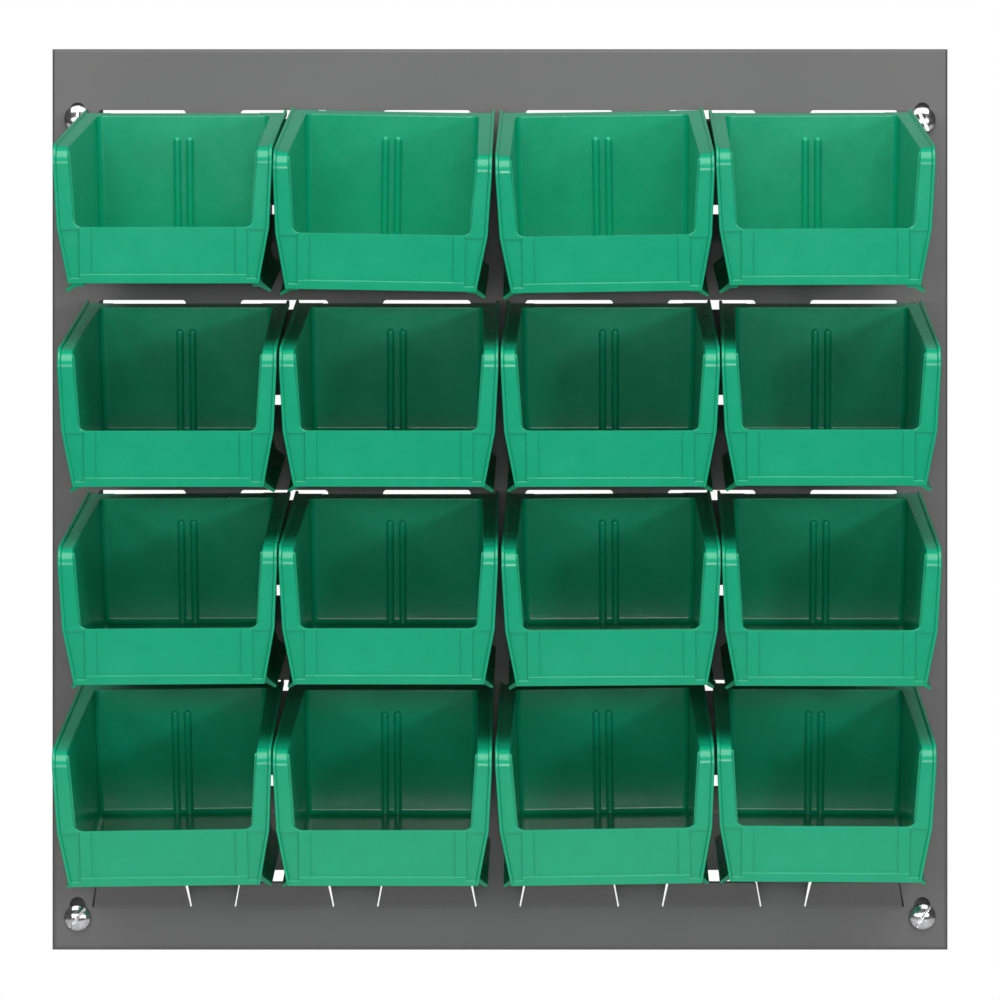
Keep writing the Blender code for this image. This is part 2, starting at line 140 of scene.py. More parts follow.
SHOULDER_RADIUS = 0.0080
SHOULDER_STEPS = 8
INNER_HALF_TOP_BACK = 0.0438
INNER_HALF_TOP_FRONT = 0.0462
INNER_HALF_FLOOR_BACK = 0.0426
INNER_HALF_FLOOR_FRONT = 0.0417
WALL_STATIONS = 7
OPENING_STEP = 0.00005
RIM_HALF_BACK = 0.0518
RIM_HALF_SHOULDER = 0.0533
PLATE_HALF_LIP = 0.0517
PLATE_HALF_BOTTOM = 0.0464
LABEL_HALF = 0.0351
STRIP_WIDTH = 0.0058
BAND_HEIGHT = 0.0046
SIDE_BAND_HEIGHT = 0.0027
RAIL_FRONT = BAND_FRONT + 0.0360
RAIL_REAR = -0.0300
RIB_RADIUS = 0.0019
RIB_SPACING = 0.0064
RIB_TOP = -0.0085
RIB_STEPS = 8

# Stacking rail under the floor: (x, z, corner radius) of its section, on the right side.
RAIL_SECTION = (
    (0.0414, -0.0628, 0),
    (0.0448, -0.0628, 0),
    (0.0460, -0.0674, 0.0005),
    (0.0508, -0.0714, 0.0004),
    (0.0499, -0.0724, 0.0004),
    (0.0450, -0.0698, 0.0004),
    (0.0414, -0.0698, 0.0006),
)

# What the moulded bin has and the CAD solids leave out: rounded edges and corners, and the
# shallow fields beside the label recess.
POCKET_DEPTH = 0.0005
RIM_ROUND = 0.0006
LIP_CORNER = 0.0042
FLOOR_FILLET = 0.0030
INNER_FILLET = 0.0030
EDGE_ROUND = 0.0004
BEAD_ROUND = 0.0005
BEAD_FOOT_ROUND = 0.0003
SHELF_ROUND = 0.0007
HOOK_FRONT_ROUND = 0.0006
HOOK_REAR_ROUND = 0.0003
ROUND_STEPS = 4

# How far joined solids reach into each other, and cutters past what they cut.
LAP = 0.0003
BITE = 0.0010
CUT_PAST = 0.0120

# Mesh cleaning: points this close are one, faces this flat (degrees) are merged, and edges
# sharper than these angles (degrees) stay sharp.
SAME_POINT = 1e-7
SAME_POINT_AFTER_CUT = 1e-6
FLAT_ANGLE = 0.2
PANEL_SHARP = 35
SCREW_SHARP = 40
BIN_SHARP = 30

# Where each bin hangs, as in the CAD model: bins take every second row of louvres, and each one
# settles a little differently: (x of the front's middle in mm, then in degrees the turn about Z,
# the roll about Y and the droop about X).
BIN_ROWS = (0, 2, 4, 6)
SETTLED = (
    ((-164.0, -1.2, 0.0, 8.3), (-56.6, -0.7, 1.0, 9.7), (50.5, -0.4, -0.8, 9.9), (158.1, 0.0, -0.2, 8.6)),
    ((-161.8, -0.9, 0.0, 9.0), (-54.0, -0.6, 0.1, 9.0), (53.5, -0.6, -0.1, 9.0), (160.9, -0.8, 0.0, 8.8)),
    ((-161.8, -1.1, -0.4, 8.8), (-54.3, -0.6, 0.0, 8.7), (53.7, -0.5, -0.4, 9.0), (161.2, -0.4, 0.1, 9.0)),
    ((-164.8, -1.0, -0.8, 9.3), (-57.2, -0.7, 0.0, 9.1), (50.4, -0.5, -0.9, 9.1), (158.8, -0.4, 0.3, 8.5)),
)
MM_PER_M = 1000
SHOULDER_REACH = 0.1740
ROLL_REACH = 0.0400
PLACE_TOLERANCE = 0.0012


# ---- mesh helpers ----


def mesh_from(bm, name):
    bmesh.ops.remove_doubles(bm, verts=bm.verts, dist=SAME_POINT)
    bmesh.ops.recalc_face_normals(bm, faces=bm.faces)
    mesh = bpy.data.meshes.new(name)
    bm.to_mesh(mesh)
    bm.free()
    return mesh


def add_object(name, mesh):
    obj = bpy.data.objects.new(name, mesh)
    bpy.context.scene.collection.objects.link(obj)
    return obj


def skin(bm, loops):
    """Faces between each two neighbouring loops of the same number of vertices."""
    count = len(loops[0])
    for near, far in zip(loops, loops[1:]):
        for i in range(count):
            j = (i + 1) % count
            bm.faces.new((near[i], near[j], far[j], far[i]))


def loft(rings):
    """Closed solid through a list of rings with the same number of points, capped at both ends."""
    bm = bmesh.new()
    loops = [[bm.verts.new(point) for point in ring] for ring in rings]
    skin(bm, loops)
    bm.faces.new(loops[0])
    bm.faces.new(loops[-1][::-1])
    return bm


def applied(obj):
    """The object's mesh with its modifiers applied; the object is removed."""
    bpy.context.view_layer.update()
    depsgraph = bpy.context.evaluated_depsgraph_get()
    mesh = bpy.data.meshes.new_from_object(obj.evaluated_get(depsgraph), depsgraph=depsgraph)
    bpy.data.objects.remove(obj, do_unlink=True)
    return mesh


def combine(base, tools, operation):
    """The mesh of base joined with, or cut by, each of the tools, all given as bmeshes."""
    body = add_object("body", mesh_from(base, "body"))
    helpers = []
    for tool in tools:
        helper = add_object("tool", mesh_from(tool, "tool"))
        helpers.append(helper)
        modifier = body.modifiers.new("boolean", "BOOLEAN")
        modifier.operation = operation
        modifier.solver = "EXACT"
        modifier.object = helper
    result = bmesh.new()
    result.from_mesh(applied(body))
    for helper in helpers:
        bpy.data.objects.remove(helper, do_unlink=True)
    bmesh.ops.remove_doubles(result, verts=result.verts, dist=SAME_POINT_AFTER_CUT)
    flat = math.radians(FLAT_ANGLE)
    bmesh.ops.dissolve_limit(result, angle_limit=flat, verts=result.verts, edges=result.edges)
    return result


def finished_mesh(mesh, name, sharp_angle):
    """Smooth shading with flat faces kept flat and edges over sharp_angle kept sharp."""
    mesh.shade_smooth()
    mesh.set_sharp_from_angle(angle=math.radians(sharp_angle))
    holder = add_object("holder", mesh)
    weighted = holder.modifiers.new("weighted", "WEIGHTED_NORMAL")
    weighted.keep_sharp = True
    weighted.weight = 100
    result = applied(holder)
    result.name = name
    return result


def arc(centre_u, centre_v, radius, start, end, steps):
    """Points on an arc in a plane, angles in degrees counted from the first axis to the second."""
    angles = [math.radians(start + (end - start) * i / steps) for i in range(steps + 1)]
    return [(centre_u + radius * math.cos(a), centre_v + radius * math.sin(a)) for a in angles]


def rounded(corners):
    """Outline of a shape given as (u, v, radius) corners, each corner turned into an arc."""
    outline = []
    for i, (u, v, radius) in enumerate(corners):
        if not radius:
            outline.append((u, v))
            continue
        here = Vector((u, v))
        before = (Vector(corners[i - 1][:2]) - here).normalized()
        after = (Vector(corners[(i + 1) % len(corners)][:2]) - here).normalized()
        half = before.angle(after) / 2
        centre = here + (before + after).normalized() * (radius / math.sin(half))
        start = here + before * (radius / math.tan(half)) - centre
        end = here + after * (radius / math.tan(half)) - centre
        first = math.atan2(start.y, start.x)
        sweep = math.atan2(start.cross(end), start.dot(end))
        for step in range(ROUND_STEPS + 1):
            turn = first + sweep * step / ROUND_STEPS
            outline.append((centre.x + radius * math.cos(turn), centre.y + radius * math.sin(turn)))
    return outline


# ---- panel ----


def rounded_top(half_low, half_top, height, corner):
    """Half-outline of a louvre hole or tab above its fold: right side, upwards, to the middle."""
    side = math.degrees(math.atan2(half_low - half_top, height))
    reach = corner * math.tan(math.radians(45 - side / 2))
    return arc(half_top - reach, height - corner, corner, side, 90, CORNER_STEPS)


def mirrored(half):
    return half + [(-x, z) for x, z in reversed(half)]


def tab_point(x, along):
    """A point of a louvre tab, at a distance along the sheet from its fold, as (x, y, z)."""
    bent = min(along, TAB_FOLD_LENGTH)
    radius = TAB_FOLD_LENGTH / math.radians(TAB_ANGLE)
    turn = bent / radius
    y = -radius * (1 - math.cos(turn))
    z = radius * math.sin(turn)
    straight = along - bent
    y -= straight * math.sin(math.radians(TAB_ANGLE))
    z += straight * math.cos(math.radians(TAB_ANGLE))
    return x, y, z


def louvre_places():
    first = LOUVRE_FIELD_X - LOUVRE_PITCH_X * (LOUVRE_COLUMNS - 1) / 2
    for row in range(LOUVRE_ROWS):
        for column in range(LOUVRE_COLUMNS):
            yield first + column * LOUVRE_PITCH_X, TOP_FOLD_Z - row * LOUVRE_PITCH_Z


def add_loop(bm, points, y):
    verts = [bm.verts.new((x, y, z)) for x, z in points]
    return [bm.edges.new((verts[i - 1], verts[i])) for i in range(len(verts))]


def rectangle(half_width, low, high):
    return [(-half_width, low), (half_width, low), (half_width, high), (-half_width, high)]


def slot_outline(x, z):
    half = SLOT_WIDTH / 2
    reach = SLOT_LENGTH / 2 - half
    return arc(x, z + reach, half, 0, 180, SLOT_STEPS) + arc(x, z - reach, half, 180, 360, SLOT_STEPS)


def hole_half(z):
    return HOLE_HALF_FOLD + (HOLE_HALF_TOP - HOLE_HALF_FOLD) * z / HOLE_HEIGHT


def tab_half(along):
    return TAB_HALF_FOLD + (TAB_HALF_TOP - TAB_HALF_FOLD) * along / TAB_LENGTH


def foot_levels():
    return [SLIT_FOOT * i / SLIT_FOOT_STEPS for i in range(SLIT_FOOT_STEPS + 1)]


def hole_outline(x, z):
    """Louvre hole in the face: along the fold, up past the webs that end the side slits, and over."""
    feet = [(hole_half(level), level) for level in foot_levels()]
    half = feet + rounded_top(HOLE_HALF_FOLD, HOLE_HALF_TOP, HOLE_HEIGHT, HOLE_CORNER)
    fold_line = [(-TAB_HALF_FOLD, 0), (TAB_HALF_FOLD, 0)]
    return [(x + u, z + v) for u, v in fold_line + mirrored(half)]


def add_tab(bm, x, z):
    """Louvre tab, with a small web on each side that joins it to the face below the slit."""
    place = Vector((x, FACE_Y, z))
    folds = [i * TAB_FOLD_LENGTH / TAB_FOLD_STEPS for i in range(TAB_FOLD_STEPS + 1)]
    pairs = []
    for along in folds:
        half = tab_half(along)
        pairs.append([bm.verts.new(place + Vector(tab_point(side * half, along))) for side in (-1, 1)])
    for low, high in zip(pairs, pairs[1:]):
        bm.faces.new((low[0], low[1], high[1], high[0]))
    top = mirrored(rounded_top(TAB_HALF_FOLD, TAB_HALF_TOP, TAB_LENGTH, TAB_CORNER))
    outline = [bm.verts.new(place + Vector(tab_point(u, v))) for u, v in top]
    bm.faces.new((pairs[-1][0], pairs[-1][1], *outline))

    for index, side in enumerate((-1, 1)):
        outer = [bm.verts.new(place + Vector((side * hole_half(v), 0, v))) for v in foot_levels()]
        inner = [pair[index] for pair in pairs[:SLIT_FOOT_STEPS + 1]]
        for i in range(SLIT_FOOT_STEPS - 1):
            bm.faces.new((inner[i], outer[i], outer[i + 1], inner[i + 1]))
        foot = []
        for i in range(1, CORNER_STEPS):
            share = i / CORNER_STEPS
            dip = math.sin(math.pi * share) * (outer[-1].co - inner[-1].co).length / 2
            foot.append(bm.verts.new(outer[-1].co.lerp(inner[-1].co, share) - Vector((0, 0, dip))))
        bm.faces.new((inner[-2], outer[-2], outer[-1], *foot, inner[-1]))


def panel_mesh():
    """One folded sheet: face with louvres and slots, rounded edges, flanges and rear lip."""
    bm = bmesh.new()
    low = PANEL_LOW.z + SHEET / 2
    high = PANEL_HIGH.z - SHEET / 2
    half = PANEL_HIGH.x - SHEET / 2

    sections = []
    for i in range(EDGE_STEPS + 1):
        turn = math.radians(90 * i / EDGE_STEPS)
        sections.append((EDGE_RADIUS * (1 - math.sin(turn)), FACE_Y + EDGE_RADIUS * (1 - math.cos(turn))))
    sections.append((0.0, LIP_Y))
    rings = []
    for inset, y in sections:
        points = rectangle(half - inset, low + inset, high - inset)
        rings.append([bm.verts.new((x, y, z)) for x, z in points])
    skin(bm, rings)

    inset = sections[0][0]
    face_edges = add_loop(bm, rectangle(half - inset, low + inset, high - inset), FACE_Y)
    for x, z in louvre_places():
        face_edges += add_loop(bm, hole_outline(x, z), FACE_Y)
    for side in (-1, 1):
        for z in SLOT_CENTRES_Z:
            face_edges += add_loop(bm, slot_outline(side * SLOT_X, z), FACE_Y)
    bmesh.ops.triangle_fill(bm, edges=face_edges, use_beauty=True, normal=(0, -1, 0))

    lip_edges = add_loop(bm, rectangle(half, low, high), LIP_Y)
    inner = LIP_WIDTH - SHEET / 2
    inner_side = SIDE_LIP_WIDTH - SHEET / 2
    lip_edges += add_loop(bm, rectangle(half - inner_side, low + inner, high - inner), LIP_Y)
    for _, side, height, _ in SCREWS:
        ring = arc(side * SLOT_X, PANEL_LOW.z + height, LIP_HOLE_RADIUS, 0, 360, LIP_HOLE_STEPS)
        lip_edges += add_loop(bm, ring[:-1], LIP_Y)
    bmesh.ops.triangle_fill(bm, edges=lip_edges, use_beauty=True, normal=(0, 1, 0))

    for x, z in louvre_places():
        add_tab(bm, x, z)

    sheet = add_object("sheet", mesh_from(bm, "sheet"))
    thickness = sheet.modifiers.new("thickness", "SOLIDIFY")
    thickness.thickness = SHEET
    thickness.offset = 0.0
    thickness.use_even_offset = True
    return finished_mesh(applied(sheet), "panel_sheet", PANEL_SHARP)


# ---- screws ----


def screw_mesh(direction):
    """Round-head screw along +Y, origin on the wall plane, with a real helical thread."""
    head_rear = FACE_OUTER_Y - GAP
    edge = head_rear - HEAD_EDGE
    tip = head_rear + SCREW_LENGTH
    stations = [(0.0, edge - HEAD_DOME)]
    for i in range(1, DOME_STEPS + 1):
        turn = math.radians(90 * i / DOME_STEPS)
        stations.append((HEAD_RADIUS * math.sin(turn), edge - HEAD_DOME * math.cos(turn)))
    for i in range(1, ROUND_STEPS + 1):
        turn = math.radians(90 * i / ROUND_STEPS)
        inset = HEAD_EDGE / 3
        radius = HEAD_RADIUS - inset * (1 - math.cos(turn))
        stations.append((radius, head_rear - inset * (1 - math.sin(turn))))
    stations.append((SHANK_RADIUS, head_rear))

    bm = bmesh.new()
    rings = []
    for radius, y in stations:
        rings.append(ring_of(bm, lambda turn: radius, y))
    steps = round(SCREW_LENGTH / THREAD_PITCH * THREAD_STEPS)
    for i in range(1, steps + 1):
        y = head_rear + SCREW_LENGTH * i / steps
        rings.append(ring_of(bm, lambda turn: thread_radius(turn, y, head_rear, tip), y))
    skin(bm, rings)
    bm.faces.new(rings[-1])
    bmesh.ops.remove_doubles(bm, verts=bm.verts, dist=SAME_POINT)
    bmesh.ops.dissolve_degenerate(bm, edges=bm.edges, dist=SAME_POINT)

    front = edge - HEAD_DOME
    long = HEAD_RADIUS + BITE
    half = DRIVER_SLOT_WIDTH / 2
    outline = [(-long, -half), (long, -half), (long, half), (-long, half)]
    cutter = loft([[(x, y, z) for x, z in outline] for y in (front - BITE, front + DRIVER_SLOT_DEPTH)])
    turned = Matrix.Rotation(math.radians(-direction), 4, "Y")
    bmesh.ops.transform(cutter, matrix=turned, verts=cutter.verts)
    cut = combine(bm, [cutter], "DIFFERENCE")
    return finished_mesh(mesh_from(cut, "screw"), "screw", SCREW_SHARP)


def ring_of(bm, radius_at, y):
    ring = []
    for i in range(SCREW_AROUND):
        turn = math.tau * i / SCREW_AROUND
        radius = radius_at(turn)
        ring.append(bm.verts.new((radius * math.cos(turn), y, radius * math.sin(turn))))
    return ring


def thread_radius(turn, y, head_rear, tip):
    """Radius of the threaded shank: a plain neck, a sharp helical ridge, and a cone at the point."""
    phase = ((y - head_rear) / THREAD_PITCH - turn / math.tau) % 1.0
    ridge = max(0.0, 1 - abs(phase - 0.5) * RIDGE_SLOPE)
    neck = min(1.0, max(0.0, (y - head_rear - THREAD_PITCH) / THREAD_PITCH))
    taper = min(1.0, max(TIP_SHARE, (tip - y) / SCREW_POINT))
    return (SHANK_RADIUS - THREAD_DEPTH * neck * (1 - ridge)) * taper


# ---- bin ----


def inner_half(y, z):
    """Half-width of the inside: it grows upwards, and more so towards the front."""
    ahead = (BACK_FRONT - y) / (BACK_FRONT - PLATE_REAR)
    up = (z - FLOOR_TOP) / (LEDGE_TOP - FLOOR_TOP)
    floor = INNER_HALF_FLOOR_BACK + (INNER_HALF_FLOOR_FRONT - INNER_HALF_FLOOR_BACK) * ahead
    top = INNER_HALF_TOP_BACK + (INNER_HALF_TOP_FRONT - INNER_HALF_TOP_BACK) * ahead
    return floor + (top - floor) * up


def opening_half(z):
    return inner_half(PLATE_REAR, z) + OPENING_STEP


def across(profile, half_width):
    """Solid with a given side profile (y, z), as wide on both sides as half_width(z) says."""
    return loft([[(side * half_width(z), y, z) for y, z in profile] for side in (-1, 1)])


def between(start, end):
    steps = WALL_STATIONS
    return [start + (end - start) * i / steps for i in range(steps + 1)]


def walls(stations, low, more):
    """Solid through upright sections at (y, top), wider than the inside by more on each side."""
    rings = []
    for y, top in stations:
        low_half = inner_half(y, low) + more
        top_half = inner_half(y, top) + more
        rings.append([(-low_half, y, low), (low_half, y, low), (top_half, y, top), (-top_half, y, top)])
    return loft(rings)


def shoulder_arc():
    """(y, z) of the bend from the top rim to the upright arm, with the outward direction."""
    centre_y = PLATE_FRONT + SHOULDER_RADIUS
    centre_z = LEDGE_TOP - SHOULDER_RADIUS
    points = []
    for i in range(SHOULDER_STEPS + 1):
        turn = math.radians(90 * i / SHOULDER_STEPS)
        out = (-math.sin(turn), math.cos(turn))
        points.append((centre_y + SHOULDER_RADIUS * out[0], centre_z + SHOULDER_RADIUS * out[1], out))
    return points


def tub():
    arc_points = shoulder_arc()
    stations = [(y, LEDGE_TOP - LAP) for y in between(BACK_REAR, arc_points[0][0] + BITE)]
    stations += [(y + LAP, z - LAP) for y, z, _ in arc_points]
    return walls(stations, FLOOR_BOTTOM, BIN_WALL)


def cavity():
    """Inside of the bin with its filleted corners, below the rim."""
    bm = walls([(y, LEDGE_TOP + CUT_PAST) for y in between(BACK_FRONT, PLATE_REAR)], FLOOR_TOP, 0)
    bmesh.ops.recalc_face_normals(bm, faces=bm.faces)
    along = [e for e in bm.edges if is_low(e) and abs(e.verts[0].co.y - e.verts[1].co.y) > BITE]
    bevel(bm, along, FLOOR_FILLET)
    ends = [e for e in bm.edges if is_end(e) and not is_high(e)]
    bevel(bm, ends, INNER_FILLET)
    return bm


def is_low(edge):
    return all(v.co.z < FLOOR_TOP + LAP for v in edge.verts)


def is_high(edge):
    return all(v.co.z > LEDGE_TOP for v in edge.verts)


def is_end(edge):
    ends = (BACK_FRONT, PLATE_REAR)
    return any(all(abs(v.co.y - y) < LAP for v in edge.verts) for y in ends)


def bevel(bm, edges, radius):
    bmesh.ops.bevel(
        bm,
        geom=edges,
        offset=radius,
        segments=ROUND_STEPS + 1,
        profile=0.5,
        affect="EDGES",
        clamp_overlap=False,
    )


def pick_opening():
    """Front opening between the arms and above the lip, with its two lower corners rounded."""
    top = LEDGE_TOP + CUT_PAST
    corners = [
        (-opening_half(LIP_TOP), LIP_TOP, LIP_CORNER),
        (opening_half(LIP_TOP), LIP_TOP, LIP_CORNER),
        (opening_half(top), top, 0),
        (-opening_half(top), top, 0),
    ]
    outline = rounded(corners)
    return loft([[(x, y, z) for x, z in outline] for y in (BAND_FRONT - CUT_PAST, PLATE_REAR + BITE)])


def rim_path():
    """Half of the sharp inner rim, from the back corner to the middle of the lip, as
    (point, direction into the opening, outward direction of the face)."""
    path = []
    inward = Vector((-1, 0, 0))
    rear_y = BACK_FRONT - INNER_FILLET
    path.append((Vector((inner_half(rear_y, LEDGE_TOP), rear_y, LEDGE_TOP)), inward, Vector((0, 0, 1))))
    for y, z, out in shoulder_arc():
        path.append((Vector((inner_half(y, z), y, z)), inward, Vector((0, out[0], out[1]))))
    front = Vector((0, -1, 0))
    centre = Vector((opening_half(LIP_TOP) - LIP_CORNER, PLATE_FRONT, LIP_TOP + LIP_CORNER))
    for i in range(2 * ROUND_STEPS + 1):
        turn = math.radians(-90 * i / (2 * ROUND_STEPS))
        away = Vector((math.cos(turn), 0, math.sin(turn)))
        path.append((centre + away * LIP_CORNER, -away, front))
    path.append((Vector((0, PLATE_FRONT, LIP_TOP)), Vector((0, 0, 1)), front))
    return path


def edge_cutter(path, radius):
    """Takes the sharp corner off an edge that runs along a path and leaves a round one."""
    past = BITE / 2
    outline = [(-radius, past), (past, past), (past, -radius)]
    outline += [(-radius + radius * math.cos(t), -radius + radius * math.sin(t)) for t in quarter()]
    rings = []
    for point, inward, out in path:
        rings.append([point + inward * a + out * b for a, b in outline])
    return loft(rings)


def quarter():
    return [math.radians(90 * i / ROUND_STEPS) for i in range(ROUND_STEPS + 1)]


def flip_x(vector):
    return Vector((-vector.x, vector.y, vector.z))


def straight_cutter(reach, y, z, inward, out):
    """Edge cutter along x, from reach on the right to the same on the left."""
    return edge_cutter([(Vector((x, y, z)), inward, out) for x in (reach, -reach)], RIM_ROUND)


def rim_cutters():
    up, rear, ahead = Vector((0, 0, 1)), Vector((0, 1, 0)), Vector((0, -1, 0))
    half = rim_path()
    other = [tuple(flip_x(v) for v in station) for station in reversed(half[:-1])]
    lip_reach = opening_half(LIP_TOP) - LIP_CORNER
    back_reach = inner_half(BACK_FRONT, LEDGE_TOP) - INNER_FILLET
    return [
        edge_cutter(half + other, RIM_ROUND),
        straight_cutter(lip_reach, PLATE_REAR, LIP_TOP, up, rear),
        straight_cutter(back_reach, BACK_FRONT, LEDGE_TOP, ahead, up),
    ]


def flange(side):
    """Rim ledge with its outer bead: along the top, round the shoulder and down the front plate."""
    inner = LABEL_HALF + STRIP_WIDTH / 2
    stations = [(SHELF_REAR - LAP, LEDGE_TOP, (0.0, 1.0), RIM_HALF_BACK)]
    stations += [(y, z, out, RIM_HALF_SHOULDER) for y, z, out in shoulder_arc()]
    stations += [(PLATE_FRONT, LIP_TOP, (-1.0, 0.0), PLATE_HALF_LIP)]
    stations += [(PLATE_FRONT, FLOOR_BOTTOM + LAP, (-1.0, 0.0), PLATE_HALF_BOTTOM + LAP / 2)]
    rings = []
    for y, z, out, outer in stations:
        section = rounded([
            (inner, 0.0, 0),
            (outer - BEAD_WIDTH, 0.0, BEAD_FOOT_ROUND),
            (outer - BEAD_WIDTH + BEAD_SLOPE, BEAD_HEIGHT, BEAD_ROUND),
            (outer, BEAD_HEIGHT, BEAD_ROUND),
            (outer, -LEDGE_THICKNESS, EDGE_ROUND),
            (inner, -LEDGE_THICKNESS, 0),
        ])
        rings.append([(side * x, y + h * out[0], z + h * out[1]) for x, h in section])
    return loft(rings)


def hanging_shelf():
    """Ledge behind the back wall that rests on the louvre."""
    front = BACK_REAR - BIN_WALL / 2
    ledge_top = LEDGE_TOP - LAP / 2
    profile = rounded([
        (front, 0.0, 0),
        (SHELF_REAR, 0.0, EDGE_ROUND),
        (SHELF_REAR, ledge_top, SHELF_ROUND),
        (front, ledge_top, 0),
    ])
    return across(profile, lambda z: RIM_HALF_BACK - BEAD_WIDTH / 2)


def hook():
    lean = math.tan(math.radians(HOOK_LEAN))
    root = LEDGE_TOP / 2
    profile = rounded([
        (HOOK_PLAY - root * lean, root, 0),
        (HOOK_REAR - HOOK_THICKNESS, -HOOK_DROP, HOOK_FRONT_ROUND),
        (HOOK_REAR, -HOOK_DROP, HOOK_REAR_ROUND),
        (SHELF_REAR - LAP - root * lean, root, 0),
    ])
    return across(profile, lambda z: HOOK_HALF)


def plate_half(z):
    share = (z - FLOOR_BOTTOM) / (LIP_TOP - FLOOR_BOTTOM)
    return PLATE_HALF_BOTTOM + (PLATE_HALF_LIP - PLATE_HALF_BOTTOM) * share


def front_band(height, half_width):
    rear = PLATE_REAR - BIN_WALL / 3
    profile = rounded([
        (BAND_FRONT, FLOOR_BOTTOM, EDGE_ROUND),
        (BAND_FRONT, FLOOR_BOTTOM + height, EDGE_ROUND),
        (rear, FLOOR_BOTTOM + height, 0),
        (rear, FLOOR_BOTTOM, 0),
    ])
    return across(profile, half_width)


def front_strip(side):
    """Upright beside the label recess, with rounded front edges."""
    rear = PLATE_REAR - BIN_WALL / 2
    front = BAND_FRONT + LAP / 2
    section = rounded([
        (LABEL_HALF, rear, 0),
        (LABEL_HALF, front, EDGE_ROUND),
        (LABEL_HALF + STRIP_WIDTH, front, EDGE_ROUND),
        (LABEL_HALF + STRIP_WIDTH, rear, 0),
    ])
    ends = (FLOOR_BOTTOM + BAND_HEIGHT / 2, LIP_TOP + BIN_WALL)
    return loft([[(side * x, y, z) for x, y in section] for z in ends])


def corner_pocket(side):
    """Shallow field of the front plate between a strip and the bead."""
    low = FLOOR_BOTTOM + SIDE_BAND_HEIGHT / 2
    high = LIP_TOP - BITE
    inner = LABEL_HALF + STRIP_WIDTH / 2
    outline = [
        (inner, low),
        (plate_half(low) - BEAD_WIDTH, low),
        (plate_half(high) - BEAD_WIDTH, high),
        (inner, high),
    ]
    ends = (PLATE_FRONT - BEAD_HEIGHT, PLATE_FRONT + POCKET_DEPTH)
    return loft([[(side * x, y, z) for x, z in outline] for y in ends])


def stacking_rail(side):
    """Rail under the floor, with a fin that leans out to sit on the rim ledge of a bin below."""
    section = rounded(RAIL_SECTION)
    return loft([[(side * x, y, z) for x, z in section] for y in (RAIL_FRONT, RAIL_REAR)])


def divider_rib(side):
    """Half-round upright with a rounded top, on the inside of the back."""
    centre = side * RIB_SPACING / 2
    levels = [(FLOOR_TOP - BITE, RIB_RADIUS), (RIB_TOP - RIB_RADIUS, RIB_RADIUS)]
    for i in range(1, RIB_STEPS):
        turn = math.radians(90 * i / RIB_STEPS)
        levels.append((RIB_TOP - RIB_RADIUS * (1 - math.sin(turn)), RIB_RADIUS * math.cos(turn)))
    rings = []
    for z, radius in levels:
        ring = arc(centre, BACK_FRONT, radius, 0, -180, RIB_STEPS)
        ring += [(centre - radius, BACK_FRONT + BITE), (centre + radius, BACK_FRONT + BITE)]
        rings.append([(x, y, z) for x, y in ring])
    return loft(rings)


def bin_mesh():
    sides = (-1, 1)
    parts = [flange(side) for side in sides]
    parts += [hanging_shelf(), hook()]
    shell = combine(tub(), parts, "UNION")
    shell = combine(shell, [corner_pocket(side) for side in sides], "DIFFERENCE")
    strips_half = LABEL_HALF + STRIP_WIDTH - LAP
    parts = [front_band(BAND_HEIGHT, lambda z: strips_half), front_band(SIDE_BAND_HEIGHT, plate_half)]
    parts += [front_strip(side) for side in sides]
    parts += [stacking_rail(side) for side in sides]
    shell = combine(shell, parts, "UNION")
    shell = combine(shell, [cavity(), pick_opening()], "DIFFERENCE")
    shell = combine(shell, rim_cutters(), "DIFFERENCE")
    shell = combine(shell, [divider_rib(side) for side in sides], "UNION")
    return finished_mesh(mesh_from(shell, "bin"), "bin", BIN_SHARP)


def louvre_top():
    """(y, z) of a louvre's highest edge as the CAD model has it: y from the wall, z from its fold."""
    y = 0.0
    z = 0.0
    for i in range(CAD_FOLD_STEPS):
        lean = math.radians(TAB_ANGLE * (i + 0.5) / CAD_FOLD_STEPS)
        y -= TAB_FOLD_LENGTH / CAD_FOLD_STEPS * math.sin(lean)
        z += TAB_FOLD_LENGTH / CAD_FOLD_STEPS * math.cos(lean)
    lean = math.radians(TAB_ANGLE)
    straight = TAB_LENGTH - TAB_FOLD_LENGTH
    y -= straight * math.sin(lean)
    z += straight * math.cos(lean)
    return FACE_Y + y + SHEET / 2 * math.cos(lean), z + SHEET / 2 * math.sin(lean)


def bin_place(louvre_row, settled):
    front_x, turn, roll, droop = settled
    turn, roll, droop = (math.radians(angle) for angle in (turn, roll, droop))
    top_y, top_z = louvre_top()
    seat_x = front_x / MM_PER_M - SHOULDER_REACH * math.sin(turn)
    seat_z = TOP_FOLD_Z - louvre_row * LOUVRE_PITCH_Z + top_z + GAP
    seat_z += ROLL_REACH * abs(math.sin(roll))
    turned = Matrix.Rotation(turn, 4, "Z") @ Matrix.Rotation(roll, 4, "Y") @ Matrix.Rotation(droop, 4, "X")
    return Matrix.Translation((seat_x, top_y, seat_z)) @ turned


# ---- materials ----


